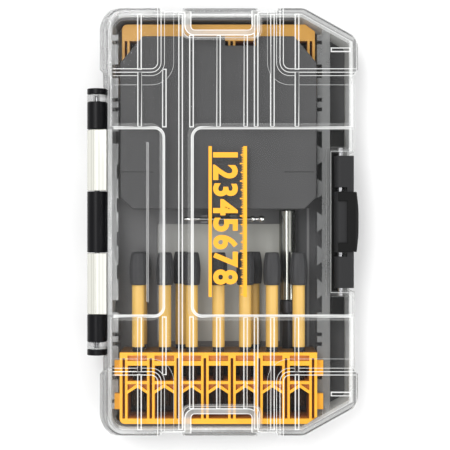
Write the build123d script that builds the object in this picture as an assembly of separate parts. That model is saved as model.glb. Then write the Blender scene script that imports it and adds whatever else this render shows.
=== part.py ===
"""Clear case for driver bits: hinged lid, latch, liners, racks, long bits and a drive guide.

Millimetres. The case lies on its back: +Z points out of the lid, +Y towards the cover panel and
+X towards the latch. The origin is the middle of the footprint, on the surface it lies on.
"""
from build123d import *
from math import hypot, sqrt
import os

os.makedirs("parts", exist_ok=True)

# Overall size
case_length = 250.0
case_width = 158.4
case_depth = 46.0
half_length = case_length / 2
half_width = case_width / 2

# Shell
parting_height = 27.0
parting_gap = 0.2
wall = 2.4
floor_thickness = 2.2
bumper_proud = 2.9
rim_inset = 2.2
rim_depth = 3.4
corner_radius = 13.0
nose_x = 31.9
nose_y = 17.7
nose_radius = 9.0
bottom_round = 2.4
cut_reach = 20.0
base_top = parting_height - parting_gap / 2
lid_bottom = parting_height + parting_gap / 2

# Hinge
barrel_radius = 5.75
barrel_clearance = 0.65
pin_radius = 1.5
running_gap = 0.05
knuckle_gap = 0.4
middle_half = 17.8
lid_knuckle_length = 35.5
outer_knuckle_length = 15.8
ear_length = 3.7
cap_length = 3.3
cap_bore_depth = 1.6
foot_height = 14.0
foot_width = 7.4
hinge_x = -half_width + barrel_radius
lid_knuckle_y = middle_half + knuckle_gap
outer_knuckle_y = lid_knuckle_y + lid_knuckle_length + knuckle_gap
ear_y = outer_knuckle_y + outer_knuckle_length + knuckle_gap
cap_y = ear_y + ear_length + knuckle_gap
hinge_end = cap_y + cap_length

# Plan edges that follow from the hinge and the overall size
wall_left = hinge_x + barrel_radius + barrel_clearance
wall_right = half_width - bumper_proud
wall_half = half_length - bumper_proud
bumper_left = hinge_x + 1.6
inner_left = wall_left + wall
inner_right = wall_right - wall
inner_half = wall_half - wall

# Corner bumpers and end blocks
bumper_side_y = 36.0
bumper_left_run = 34.6
bumper_right_run = 46.0
bumper_taper = 6.5
end_block_half = 21.6
end_block_x = -1.5
end_block_low = 14.0

# Lid top
lid_top_drop = 1.8
lid_thickness = 2.2
wall_draft = 0.076
bumper_draft = 0.164
pad_height = 1.2
pad_chamfer = 0.42
pad_left_width = 42.4
pad_right_width = 44.8
pad_length = 37.9
pad_corner = 4.0
pad_steps = ((0.0, 1.0), (1.9, 0.66), (3.9, 0.34), (9.2, 0.12))
panel_half = 53.4
panel_depth = 2.0
panel_slope = 0.9
panel_corner = 5.0
left_panel_width = 45.1
ridge_width = 17.2
pocket_half = 17.3
pocket_x = -0.7
pocket_length = 14.6
pocket_depth = 4.0
pocket_slope = 3.9
pocket_corner = 2.0
rib_width = 2.0
rib_height = 0.6
long_rib_x = (-47.4, 19.1, 28.4, 42.4)
short_rib_x = (-17.8, -2.4, 13.1)
ridge_rib_place = 10.1
half_rib_place = 0.8
cross_rib_place = 26.9
fine_rib_place = 8.9
fine_rib_width = 0.8
fine_rib_height = 0.4
fine_rib_end_gap = 8.0
cross_rib_reach = 6.0
lid_top = case_depth - lid_top_drop
lid_inset = wall_draft * (lid_top - lid_bottom)
bumper_inset = bumper_draft * (lid_top - lid_bottom)
pad_top = lid_top + pad_height
panel_top = lid_top - panel_depth
pocket_top = lid_top - pocket_depth
pad_left_x = -half_width + pad_left_width
pad_right_x = half_width - pad_right_width
pad_y = half_length - pad_length
left_panel_x = -half_width + left_panel_width
right_panel_x = left_panel_x + ridge_width
pocket_y = half_length - pocket_length
full_rib_x = left_panel_x + ridge_rib_place
half_rib_x = left_panel_x + half_rib_place
cross_rib_y = half_length - cross_rib_place
fine_rib_x = left_panel_x - fine_rib_place

# Partition, rail and divider teeth
narrow_width = 11.1
partition_cap = 4.7
cap_depth = 1.6
tooth_pitch = 19.6
tooth_proud = 2.8
tooth_tip = 11.7
tooth_root = 7.6
tooth_low = 8.0
u_rib_length = 3.4
end_teeth = 5
middle_teeth = 2
rail_width = 3.6
rail_depth = 4.0
rail_notch = 8.2
rail_notch_depth = 0.9
partition_right = inner_right - narrow_width
partition_left = partition_right - partition_cap
rail_right = inner_left + rail_width
rail_half = tooth_pitch * (middle_teeth + 0.5) - 3.2

# Latch
latch_pin_inset = 11.3
latch_pin_drop = 7.2
bay_half = 40.3
bay_gap = 5.7
bay_wall = 2.4
catch_inset = 3.35
latch_clearance = 0.2
latch_half = 38.0
latch_bottom = 8.0
latch_thickness = 2.45
wing_barrel_radius = 3.6
latch_slot_inner = 17.5
latch_slot_width = 2.4
grip_half = 17.2
grip_thickness = 2.6
grip_crown = 1.4
grip_low = 12.0
grip_window_half = 12.0
catch_base_low = 6.0
latch_pin_x = half_width - latch_pin_inset
latch_pin_z = lid_top - latch_pin_drop
bay_x = latch_pin_x - bay_gap
catch_radius = wall_right - catch_inset - hinge_x
latch_inner_radius = catch_radius + latch_clearance
latch_outer_x = hinge_x + latch_inner_radius + latch_thickness
latch_top = latch_pin_z + wing_barrel_radius

# Bridge under the latch
bridge_half = 53.5
bridge_thickness = 2.4
bridge_leg = 2.0
bridge_gap = 0.2
bridge_top = base_top - bridge_gap
catch_floor_x = hinge_x + sqrt((catch_radius - wall) ** 2 - parting_height ** 2)

# Liners
liner_gap = 0.3
liner_thickness = 1.6
liner_lift = 0.1
liner_wall = 1.2
liner_wall_drop = 1.4
liner_wall_left_gap = -3.4
liner_wall_right_gap = 10.5
liner_bottom = floor_thickness + liner_lift
liner_top = liner_bottom + liner_thickness
liner_wall_top = base_top - liner_wall_drop
window_side = 19.8
window_top = -1.3
window_end = 3.3

# Racks
rack_head_gap = 0.5
rack_end_gap = 3.2
rack_left_gap = 1.65
rack_right_gap = 0.8
rack_length = 41.2
bay_count = 7
bay_bar = 4.4
slit_width = 1.5
slit_depth = 12.0
rack_side = 1.6
near_bar = 1.8
strip_length = 3.1
second_bar = 2.7
upper_window = 8.9
middle_bar = 1.8
chevron_rise = 3.6
chevron_bar = 1.9
chevron_root = 1.0
end_bar_length = 3.1
top_end_bar = 9.8
strip_depth = 4.0
rack_corner = 3.0
rack_cut_x = 5.8
rack_cut_y = 4.2
tab_height = 3.2
tab_left_reach = 3.6
tab_right_reach = 4.1
tab_length = 9.2
tab_place = (9.8, 29.2)
rack_height = (pocket_top - lid_thickness - rack_head_gap - liner_top) / 2
rear_rack_bottom = liner_top
front_rack_bottom = rear_rack_bottom + rack_height
rack_left = rail_right + rack_left_gap
rack_right = partition_left - tooth_proud - rack_right_gap
rack_x = (rack_left + rack_right) / 2
rack_width = rack_right - rack_left
rack_near_y = inner_half - rack_end_gap - rack_length
bay_pitch = (rack_width - slit_width - 2 * rack_side) / bay_count
bay_window = bay_pitch - bay_bar
window_left = rack_left + window_side
window_right = rack_right - window_side
window_bottom = -rack_near_y + window_end

# Long bits
bit_length = 88.9
insert_depth = 31.4
hex_across = 6.35
socket_gap = 0.33
sleeve_radius = 3.6
neck_radius = 2.3
neck_gap = 0.1
collar_length = 18.9
collar_radius = 5.4
collar_foot_radius = 4.9
collar_mouth_radius = 4.1
sleeve_clear = 2.5
detent_length = 3.0
detent_from_end = 9.0
detent_radius = 2.6
tip_length = 7.0
tip_end_radius = 0.8
rear_bit_bay = (-2.96, -1.42, 1.34)
bit_tip_y = bit_length - insert_depth - rack_near_y
sleeve_end_y = sleeve_clear - rack_near_y
rear_bit_x = [rack_x + bay * bay_pitch for bay in rear_bit_bay]
front_axis_z = front_rack_bottom + rack_height / 2
rear_axis_z = rear_rack_bottom + rack_height / 2
socket_radius = hex_across / sqrt(3) + socket_gap
socket_end_gap = 1.6
socket_depth = insert_depth + socket_end_gap

# Drive guide
guide_bay = 2.64
guide_insert_depth = 28.7
guide_shank_length = 50.3
guide_sleeve_radius = 5.1
guide_bore_radius = 4.2
guide_sleeve_length = 53.7
guide_stem_drop = 13.1
guide_band_length = 6.8
guide_band_radius = 4.7
guide_band_gap = 0.3
magnet_radius = 3.0
magnet_length = 3.0
guide_x = rack_x + guide_bay * bay_pitch
guide_shank_end = -rack_near_y - guide_insert_depth
guide_sleeve_bottom = guide_shank_end + guide_shank_length + guide_band_length + guide_band_gap
guide_sleeve_top = guide_sleeve_bottom + guide_sleeve_length
guide_stem_top = guide_sleeve_top - guide_stem_drop

# Slim rod on its posts
slim_rod_radius = 1.2
slim_rod_y = 1.7
slim_rod_length = 45.8
slim_rod_shift = 2.55
slim_ball_radius = 2.1
slim_rod_clearance = 0.15
saddle_gap = 0.1
post_spacing = 17.0
post_width = 4.0
post_depth = 5.0
slim_rod_left = rack_x + slim_rod_shift - slim_rod_length / 2
slim_rod_right = slim_rod_left + slim_rod_length
slim_rod_z = front_axis_z - collar_radius - slim_ball_radius - slim_rod_clearance
post_x = (rack_x - post_spacing / 2, rack_x + post_spacing / 2)

# Cover panel
cover_low_y = 7.4
cover_end_gap = 8.8
cover_head_gap = 6.0
cover_wall = 1.8
cover_round = 0.8
cover_near_chamfer = 7.0
cover_far_chamfer_x = 13.0
cover_far_chamfer_y = 15.5
cover_notch = (1.4, 19.3, 5.6)
groove_y = 28.9
groove_length = 20.0
groove_width = 0.9
groove_depth = 0.5
leg_width = 4.0
leg_setback = 3.0
cover_left = rack_left
cover_right = rack_right
cover_high_y = rack_near_y + rack_length - cover_end_gap
cover_top = panel_top - lid_thickness - cover_head_gap
cover_bottom = rear_rack_bottom + rack_height


def slab(x0, x1, y0, y1, z0, z1):
    """Block between two corners."""
    middle = ((x0 + x1) / 2, (y0 + y1) / 2, (z0 + z1) / 2)
    return Pos(*middle) * Box(x1 - x0, y1 - y0, z1 - z0)


def prism(face, z0, z1):
    """Plan face raised from one height to another."""
    return Pos(0, 0, z0) * extrude(face, amount=z1 - z0, dir=(0, 0, 1))


def bar_y(radius, y0, y1, x, z):
    """Round bar along Y."""
    return Pos(x, (y0 + y1) / 2, z) * Rot(90, 0, 0) * Cylinder(radius, y1 - y0)


def profile_y(face, y0, y1):
    """Face drawn as (x, z), carried along Y."""
    drawn = Plane(origin=(0, y1, 0), x_dir=(1, 0, 0), z_dir=(0, -1, 0)) * face
    return extrude(drawn, amount=y1 - y0, dir=(0, -1, 0))


def both_ends(shape):
    """The shape and its mirror image about the middle of the case."""
    return shape + mirror(shape, Plane.XZ)


def plan(left, right, half, inset, radius):
    """Plan of the case, with round corners on the hinge side and cut corners by the latch."""
    run = hypot(nose_x, nose_y)
    reach = (nose_y * (half_width - nose_x) + nose_x * half_length) - inset * run
    top_x = (reach - nose_x * half) / nose_y
    right_y = (reach - nose_y * right) / nose_x
    face = Polygon(
        (left, -half), (top_x, -half), (right, -right_y),
        (right, right_y), (top_x, half), (left, half), align=None)
    face = fillet(face.vertices().group_by(Axis.X)[0], radius)
    return fillet(face.vertices().filter_by(lambda v: v.X > top_x - 0.01), nose_radius - inset)


def shell_plan(inset):
    """Plan of the case wall's outer face, drawn in by an inset."""
    return plan(wall_left + inset, wall_right - inset, wall_half - inset,
                bumper_proud + inset, corner_radius - bumper_proud - inset)


def outer_plan(inset):
    """Plan of the bumpers' outer face, drawn in by an inset."""
    return plan(bumper_left + inset, half_width - inset, half_length - inset, inset,
                corner_radius - inset)


def drafted(low_plan, high_plan, z0, z1):
    """Body whose walls lean from one plan to another of the same kind."""
    return loft([Pos(0, 0, z0) * low_plan, Pos(0, 0, z1) * high_plan], ruled=True)


def corner_zone(side_x, wall_x, end_run):
    """Region of one corner bumper at +Y, with its two tapered ends."""
    way = 1 if side_x > 0 else -1
    end_x = side_x - way * end_run
    return Polygon(
        (side_x + way, half_length + 1), (side_x + way, half_length - bumper_side_y),
        (side_x, half_length - bumper_side_y), (wall_x, half_length - bumper_side_y - bumper_taper),
        (end_x - way * bumper_taper / 2, inner_half), (end_x, half_length),
        (end_x, half_length + 1), align=None)


def bumpers(z0, z1, low_inset=0.0, high_inset=0.0):
    """All four corner bumpers between two heights."""
    body = drafted(outer_plan(low_inset), outer_plan(high_inset), z0, z1)
    left = prism(corner_zone(bumper_left, inner_left, bumper_left_run), z0, z1)
    right = prism(corner_zone(half_width, inner_right, bumper_right_run), z0, z1)
    return body & both_ends(left + right)


def end_blocks(z0, z1):
    """The proud block in the middle of each short end."""
    block = slab(end_block_x - end_block_half, end_block_x + end_block_half,
                 inner_half, half_length, z0, z1)
    outer_edges = block.edges().filter_by(Axis.Z).group_by(Axis.Y)[-1]
    return both_ends(chamfer(outer_edges, bumper_proud / 2))


def hinge_cut():
    """Room for the hinge along both shells, down to the wall's outer face."""
    return slab(-half_width, wall_left, -hinge_end - knuckle_gap, hinge_end + knuckle_gap,
                -1, case_depth + 1)


def barrel(y0, y1):
    """Hinge barrel without its bore."""
    return bar_y(barrel_radius, y0, y1, hinge_x, parting_height)


def pin_bore(y0, y1):
    """Bore for the hinge pin."""
    return bar_y(pin_radius + running_gap, y0, y1, hinge_x, parting_height)


def tooth(y, tip_length, root_length, root_x, way):
    """Dovetail block of a divider slot, standing out of a wall along X."""
    back_x = root_x - way * (partition_cap - wall + 0.2)
    tip_x = root_x + way * tooth_proud
    return Polygon(
        (back_x, y - root_length / 2), (root_x, y - root_length / 2), (tip_x, y - tip_length / 2),
        (tip_x, y + tip_length / 2), (root_x, y + root_length / 2), (back_x, y + root_length / 2),
        align=None)


def end_teeth_row(root_x, way):
    """Long teeth and slim ribs towards both ends of a side."""
    row = []
    for step in range(middle_teeth + 1, end_teeth + 1):
        row.append(tooth(step * tooth_pitch, tooth_tip, tooth_tip, root_x, way))
    for step in (middle_teeth + 1.5, middle_teeth + 3.5):
        row.append(tooth(step * tooth_pitch, u_rib_length, u_rib_length, root_x, way))
    return row


def base_partition():
    """Wall between the main and the narrow compartment, with its cap and divider teeth."""
    inside = prism(shell_plan(wall / 2), 0, base_top)
    web = slab(partition_right - wall, partition_right, -half_length, half_length, 0.5, base_top)
    cap = slab(partition_left, partition_right, -half_length, half_length,
               base_top - cap_depth, base_top)
    teeth = [tooth(step * tooth_pitch, tooth_tip, tooth_root, partition_left, -1)
             for step in range(-middle_teeth, middle_teeth + 1)]
    shape = web + cap
    for face in teeth:
        shape += prism(face, tooth_low, base_top)
    for face in end_teeth_row(partition_left, -1):
        shape += both_ends(prism(face, tooth_low, base_top))
    return shape & inside


def base_rail():
    """Ledge and teeth along the hinge side wall."""
    rail = slab(inner_left - 0.3, rail_right, -rail_half, rail_half, base_top - rail_depth, base_top)
    for step in range(-middle_teeth, middle_teeth):
        middle = (step + 0.5) * tooth_pitch
        rail -= slab(rail_right - rail_notch_depth, rail_right + 1, middle - rail_notch / 2,
                     middle + rail_notch / 2, tooth_low, base_top + 1)
    for face in end_teeth_row(inner_left + rail_width - tooth_proud, 1):
        rail += both_ends(prism(face, tooth_low, base_top))
    return rail


def catch_cylinder(radius):
    """Round body about the hinge axis, which the latch and its catch are cut to."""
    return bar_y(radius, -bay_half - bay_wall, bay_half + bay_wall, hinge_x, parting_height)


def base_shell():
    """Clear base: floor, walls, rim, bumpers, partition, teeth, hinge ears and latch catch."""
    body = prism(shell_plan(0), 0, base_top)
    body = fillet(body.edges().group_by(Axis.Z)[0], bottom_round)
    corners = bumpers(0, base_top)
    corners -= prism(outer_plan(0), -1, 1) - prism(shell_plan(0), -1, 1)
    body = body + corners + prism(outer_plan(rim_inset), base_top - rim_depth, base_top)
    body += end_blocks(end_block_low, base_top)
    cavity = prism(shell_plan(wall), floor_thickness, base_top + 1)
    body = body - cavity + base_partition() + base_rail()

    recess = slab(latch_pin_x, half_width + 1, -bay_half - latch_clearance,
                  bay_half + latch_clearance, catch_base_low, base_top + 1)
    body -= recess - catch_cylinder(catch_radius)
    catch = catch_cylinder(catch_radius) - catch_cylinder(catch_radius - wall)
    body += catch & slab(latch_pin_x, half_width, -bay_half - bay_wall, bay_half + bay_wall,
                         floor_thickness / 2, base_top)
    body += both_ends(slab(inner_right - wall, inner_right + wall / 2, bay_half + latch_clearance,
                           bay_half + bay_wall, floor_thickness / 2, base_top))

    body -= hinge_cut()
    ear = barrel(ear_y, ear_y + ear_length)
    ear += slab(hinge_x, wall_left + wall / 2, ear_y, ear_y + ear_length,
                parting_height - barrel_radius, base_top)
    body += both_ends(ear - pin_bore(ear_y - 1, cap_y))
    return body


def rounded_slope(x0, x1, y0, y1, z0, z1, slope, radius):
    """Block whose walls lean outwards towards the top, with round corners in plan."""
    low = RectangleRounded(x1 - x0, y1 - y0, radius)
    high = RectangleRounded(x1 - x0 + 2 * slope, y1 - y0 + 2 * slope, radius + slope)
    middle = Pos((x0 + x1) / 2, (y0 + y1) / 2, 0)
    return loft([middle * Pos(0, 0, z0) * low, middle * Pos(0, 0, z1) * high])


def lid_panels(drop, grow):
    """The two sunk panels as one cutting body, moved down and widened for the underside."""
    z0 = panel_top - drop
    z1 = lid_top + 1 - drop if drop == 0 else lid_top
    slope = panel_slope * (z1 - z0) / panel_depth
    left = rounded_slope(bumper_left - cut_reach, left_panel_x - grow, -panel_half - grow,
                         panel_half + grow, z0, z1, slope, panel_corner)
    right = rounded_slope(right_panel_x - grow, half_width + cut_reach, -panel_half - grow,
                          panel_half + grow, z0, z1, slope, panel_corner)
    return left + right


def lid_pockets(grow, z0, z1):
    """The sunk pocket in the middle of each end, as a cutting body."""
    slope = pocket_slope * (z1 - z0) / pocket_depth
    return both_ends(rounded_slope(pocket_x - pocket_half - grow, pocket_x + pocket_half + grow,
                                   pocket_y - grow, half_length + cut_reach, z0, z1, slope,
                                   pocket_corner))


def pad_body(edge_x, offset, top):
    """One terrace of a corner pad at +Y, as a block with a round inner corner."""
    way = 1 if edge_x > 0 else -1
    inner_x = edge_x - way * offset
    inner_y = pad_y - offset
    far_x = way * (half_width + 10)
    block = slab(min(inner_x, far_x), max(inner_x, far_x), inner_y, half_length + 10,
                 lid_top - 1, top)
    corner = block.edges().filter_by(Axis.Z).group_by(Axis.Y)[0].sort_by(Axis.X)
    block = fillet(corner[0] if way > 0 else corner[-1], pad_corner + offset)
    return chamfer(block.edges().group_by(Axis.Z)[-1], pad_chamfer)


def lid_pads():
    """Stepped pads over the four corners."""
    outline = prism(shell_plan(lid_inset + bottom_round / 2), lid_top - 1, case_depth + 1)
    outline += bumpers(lid_top - 1, case_depth + 1, bumper_inset, bumper_inset)
    terraces = None
    for offset, share in pad_steps:
        top = lid_top + pad_height * share
        for edge_x in (pad_left_x, pad_right_x):
            terrace = pad_body(edge_x, offset, top)
            terraces = terrace if terraces is None else terraces + terrace
    return both_ends(terraces) & outline


def rib(x, y0, y1, top, width=rib_width, root=0.5):
    """Straight rib along Y on the lid's top, at +Y."""
    return slab(x - width / 2, x + width / 2, y0, y1, top - root - rib_height, top)


def lid_ribs():
    """Fine stiffening ribs on the lid's top."""
    panel_edge = panel_half + panel_slope
    end_edge = wall_half - lid_inset - bottom_round
    top = lid_top + rib_height
    ribs = rib(full_rib_x, -end_edge, end_edge, top)
    for x in long_rib_x:
        ribs += both_ends(rib(x, panel_edge, end_edge, top))
    for x in short_rib_x:
        ribs += both_ends(rib(x, panel_edge, pocket_y - pocket_slope, top))
    ribs += both_ends(rib(half_rib_x, panel_edge, pad_y, top))
    for x in (long_rib_x[0], long_rib_x[-1]):
        ribs += both_ends(rib(x, pad_y, end_edge, pad_top + rib_height))
    cross = slab(latch_pin_x - cross_rib_reach, wall_right - lid_inset - bottom_round,
                 cross_rib_y - rib_width / 2, cross_rib_y + rib_width / 2,
                 lid_top, pad_top + rib_height)
    ribs += both_ends(cross)
    fine_rib_end = panel_half - fine_rib_end_gap
    ribs += slab(fine_rib_x - fine_rib_width / 2, fine_rib_x + fine_rib_width / 2,
                 -fine_rib_end, fine_rib_end, panel_top - 0.5, panel_top + fine_rib_height)
    return ribs


def lid_shell():
    """Clear lid: walls, rim, bumpers, stepped top, latch bay and hinge knuckles."""
    body = drafted(shell_plan(0), shell_plan(lid_inset), lid_bottom, lid_top)
    body = fillet(body.edges().group_by(Axis.Z)[-1], bottom_round)
    corners = bumpers(lid_bottom, lid_top, 0, bumper_inset)
    body = body + corners + prism(outer_plan(rim_inset), lid_bottom, lid_bottom + rim_depth)
    body += end_blocks(lid_bottom, pocket_top) & drafted(outer_plan(0), outer_plan(bumper_inset),
                                                         lid_bottom, lid_top)
    body -= lid_panels(0, 0)
    body -= lid_pockets(0, pocket_top, lid_top + 1)
    body = body + lid_pads() + lid_ribs()

    cavity = drafted(shell_plan(wall - wall_draft), shell_plan(wall + lid_inset),
                     lid_bottom - 1, lid_top)
    cavity -= slab(-half_width, half_width, -half_length, half_length,
                   lid_top - lid_thickness, lid_top + 1)
    cavity -= lid_panels(lid_thickness, lid_thickness * 0.8)
    cavity -= lid_pockets(lid_thickness, pocket_top - lid_thickness, lid_top)
    bay_block = slab(bay_x - bay_wall, half_width + 1, -bay_half - bay_wall, bay_half + bay_wall,
                     lid_bottom - 1, lid_top)
    body -= cavity - bay_block
    body -= slab(bay_x, half_width + 1, -bay_half, bay_half, lid_bottom - 1, case_depth + 1)
    body -= bar_y(pin_radius + running_gap, -bay_half - bay_wall - 1, bay_half + bay_wall + 1,
                  latch_pin_x, latch_pin_z)

    body -= hinge_cut()
    knuckle = barrel(lid_knuckle_y, lid_knuckle_y + lid_knuckle_length)
    knuckle += slab(hinge_x, wall_left + wall / 2, lid_knuckle_y,
                    lid_knuckle_y + lid_knuckle_length, lid_bottom, parting_height + barrel_radius)
    body += both_ends(knuckle - pin_bore(lid_knuckle_y - 1, outer_knuckle_y))
    return body


def hinge_block(y0, y1):
    """Black barrel with a foot that is fixed to the side of the base."""
    foot = slab(wall_left - foot_width, wall_left, y0, y1,
                parting_height - barrel_radius / 2 - foot_height, parting_height - barrel_radius / 2)
    low_edge = foot.edges().filter_by(Axis.Y).group_by(Axis.Z)[0].sort_by(Axis.X)[0]
    return chamfer(low_edge, foot_width * 0.6) + barrel(y0, y1)


def hinge_knuckle(y0, y1):
    """Black knuckle, bored through for the pin."""
    return hinge_block(y0, y1) - pin_bore(y0 - 1, y1 + 1)


def hinge_cap():
    """Black end cap at +Y, with a blind bore for the pin's end."""
    return hinge_block(cap_y, hinge_end) - pin_bore(cap_y - 1, cap_y + cap_bore_depth)


def latch_profile():
    """Section of the latch body: top plate over the pin and front plate down to the hook."""
    top = Pos((latch_pin_x + latch_outer_x) / 2, (latch_top + latch_bottom) / 2)
    sheet = top * Rectangle(latch_outer_x - latch_pin_x, latch_top - latch_bottom)
    corner = sheet.vertices().group_by(Axis.X)[-1].sort_by(Axis.Y)[-1]
    sheet = fillet(corner, latch_thickness)
    hollow_right = latch_outer_x - latch_thickness
    return sheet, hollow_right


def latch_body():
    """Latch body with both wings, whose inner face follows the arc about the case hinge."""
    sheet, hollow_right = latch_profile()
    body = profile_y(sheet, -latch_half, latch_half)
    hollow = slab(latch_pin_x - 1, hollow_right + 1, -half_length, half_length, 0,
                  latch_pin_z + 0.8)
    hollow = hollow & bar_y(latch_inner_radius, -half_length, half_length, hinge_x, parting_height)
    body -= hollow
    body += bar_y(wing_barrel_radius, -latch_half, latch_half, latch_pin_x, latch_pin_z)
    for side in (-1, 1):
        middle = side * (latch_slot_inner + latch_slot_width / 2)
        body -= slab(latch_pin_x - wing_barrel_radius - 1, latch_pin_x + wing_barrel_radius,
                     middle - latch_slot_width / 2, middle + latch_slot_width / 2,
                     latch_pin_z - wing_barrel_radius - 1, latch_top + 1)
    return body - bar_y(pin_radius + running_gap, -half_length, half_length,
                        latch_pin_x, latch_pin_z)


def latch_grip():
    """Bowed thumb piece that sits on the middle of the latch body."""
    outer_x = latch_outer_x + grip_thickness
    back_x = latch_pin_x - wing_barrel_radius / 2
    top = latch_top + grip_crown
    sheet = Pos((back_x + outer_x) / 2, (top + grip_low) / 2) * Rectangle(
        outer_x - back_x, top - grip_low)
    corner = sheet.vertices().group_by(Axis.X)[-1].sort_by(Axis.Y)
    sheet = fillet(corner, grip_thickness)
    body = profile_y(sheet, -grip_half, grip_half)
    body -= slab(0, latch_outer_x, -half_length, half_length, 0, latch_top)
    bow = (grip_half ** 2 + grip_crown ** 2) / (2 * grip_crown)
    bowed = Pos(outer_x - bow, 0, 0) * Cylinder(bow, 2 * case_depth)
    body = body & (bowed + slab(0, outer_x - grip_crown - 0.1, -grip_half, grip_half, 0, case_depth))
    return body - slab(0, latch_pin_x + wing_barrel_radius, -grip_window_half, grip_window_half,
                       0, case_depth)


def latch_bridge():
    """Black plate across the narrow compartment under the latch, on two legs."""
    left = partition_right + liner_gap
    narrow_right = hinge_x + catch_radius - wall - 2 * liner_gap
    wide_right = inner_right - wall - liner_gap
    low = bridge_top - bridge_thickness
    plate = slab(left, narrow_right, -bridge_half, bridge_half, low, bridge_top)
    end = slab(left, wide_right, bay_half + bay_wall + liner_gap, bridge_half, low, bridge_top)
    leg = slab(left, wide_right, bridge_half - bridge_leg, bridge_half, liner_top, bridge_top)
    return plate + both_ends(end + leg)


def liner_slice(inset, z0, z1):
    """Plan of the case's inside, drawn in by an inset, between two heights."""
    return prism(shell_plan(wall + inset), z0, z1)


def main_liner():
    """Dark floor liner of the main compartment, with raised ends and posts for the slim rod."""
    reach = slab(-half_width, partition_right - wall - liner_gap, -half_length, half_length,
                 0, case_depth)
    mat = liner_slice(liner_gap, liner_bottom, liner_top)
    mat -= slab(window_left, window_right, window_bottom, window_top, 0, case_depth)
    ends = liner_slice(liner_gap, liner_bottom, liner_wall_top)
    ends -= liner_slice(liner_gap + liner_wall, liner_top, liner_wall_top + 1)
    ends = ends & both_ends(slab(rack_left + liner_wall_left_gap, rack_right - liner_wall_right_gap,
                                 inner_half - 10, half_length, 0, case_depth))
    liner = (mat + ends) & reach
    for x in post_x:
        liner += slab(x - post_width / 2, x + post_width / 2, slim_rod_y - post_depth / 2,
                      slim_rod_y + post_depth / 2, liner_bottom, slim_rod_z + slim_rod_radius / 2)
    return liner - slim_rod_room()


def slim_rod_room():
    """Groove for the slim rod, open at the top."""
    radius = slim_rod_radius + saddle_gap
    length = slim_rod_right - slim_rod_left
    middle = (slim_rod_right + slim_rod_left) / 2
    room = Pos(middle, slim_rod_y, slim_rod_z) * Rot(0, 90, 0) * Cylinder(radius, length)
    return room + slab(slim_rod_left, slim_rod_right, slim_rod_y - radius, slim_rod_y + radius,
                       slim_rod_z, slim_rod_z + 4)


def slim_rod():
    """Slim bright rod with a ball at one end."""
    length = slim_rod_right - slim_rod_left
    middle = (slim_rod_right + slim_rod_left) / 2
    rod = Pos(middle, slim_rod_y, slim_rod_z) * Rot(0, 90, 0) * Cylinder(slim_rod_radius, length)
    return rod + Pos(slim_rod_right, slim_rod_y, slim_rod_z) * Sphere(slim_ball_radius)


def side_liner():
    """Dark floor liner of the narrow compartment."""
    mat = liner_slice(liner_gap, liner_bottom, liner_top)
    mat = mat & slab(partition_right + liner_gap, half_width, -half_length, half_length,
                     0, case_depth)
    return mat - slab(catch_floor_x - liner_gap, half_width, -bay_half - bay_wall - liner_gap,
                      bay_half + bay_wall + liner_gap, 0, case_depth)


def rack_bay(x, y0, end_bar, bottom, top):
    """Cut-outs of one bay: windows, recessed strip and the two pockets over the chevron."""
    left = x - bay_window / 2
    right = x + bay_window / 2
    strip_start = y0 - near_bar
    second_start = strip_start - strip_length
    window_start = second_start - second_bar
    middle_start = window_start - upper_window
    chevron_start = middle_start - middle_bar
    chevron_foot = chevron_start - chevron_rise
    end = y0 - rack_length + end_bar
    cut = slab(left, right, second_start, strip_start, top - strip_depth, top + 1)
    cut += slab(left, right, middle_start, window_start, bottom - 1, top + 1)
    peak = chevron_start - chevron_bar
    lower = Polygon((left, end), (right, end), (right, chevron_foot - chevron_bar),
                    (x, peak), (left, chevron_foot - chevron_bar), align=None)
    cut += prism(lower, bottom - 1, top + 1)
    for way in (-1, 1):
        side_x = x + way * bay_window / 2
        corner = Polygon((side_x, chevron_start), (x + way * chevron_root / 2, chevron_start),
                         (side_x, chevron_foot), align=None)
        cut += prism(corner, top - strip_depth, top + 1)
    return cut


def rack(bottom, socket_x, end_bar, with_tabs):
    """Yellow rack at the -Y end: a block with seven bays, slits between them and sockets."""
    top = bottom + rack_height
    near = -rack_near_y
    far = near - rack_length
    outline = Polygon((rack_left, far), (rack_right - rack_cut_x, far),
                      (rack_right, far + rack_cut_y), (rack_right, near), (rack_left, near),
                      align=None)
    body = prism(fillet(outline.vertices().sort_by(Axis.Y)[0:2].sort_by(Axis.X)[0], rack_corner),
                 bottom, top)
    first = rack_x - (bay_count - 1) / 2 * bay_pitch
    for number in range(bay_count):
        body -= rack_bay(first + number * bay_pitch, near, end_bar, bottom, top)
    for number in range(bay_count + 1):
        middle = first + (number - 0.5) * bay_pitch
        body -= slab(middle - slit_width / 2, middle + slit_width / 2, far + end_bar,
                     near - near_bar - slit_width, top - slit_depth, top + 1)
    for x in socket_x:
        body -= bar_y(socket_radius, near - socket_depth, near + 1, x, bottom + rack_height / 2)
    if with_tabs:
        for place in tab_place:
            low = near - place - tab_length / 2
            high = low + tab_length
            body += slab(rack_left - tab_left_reach, rack_left + rack_side / 2,
                         low, high, base_top, base_top + tab_height)
            body += slab(rack_right - rack_side / 2, rack_right + tab_right_reach,
                         low, high, base_top, base_top + tab_height)
    return body


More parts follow.
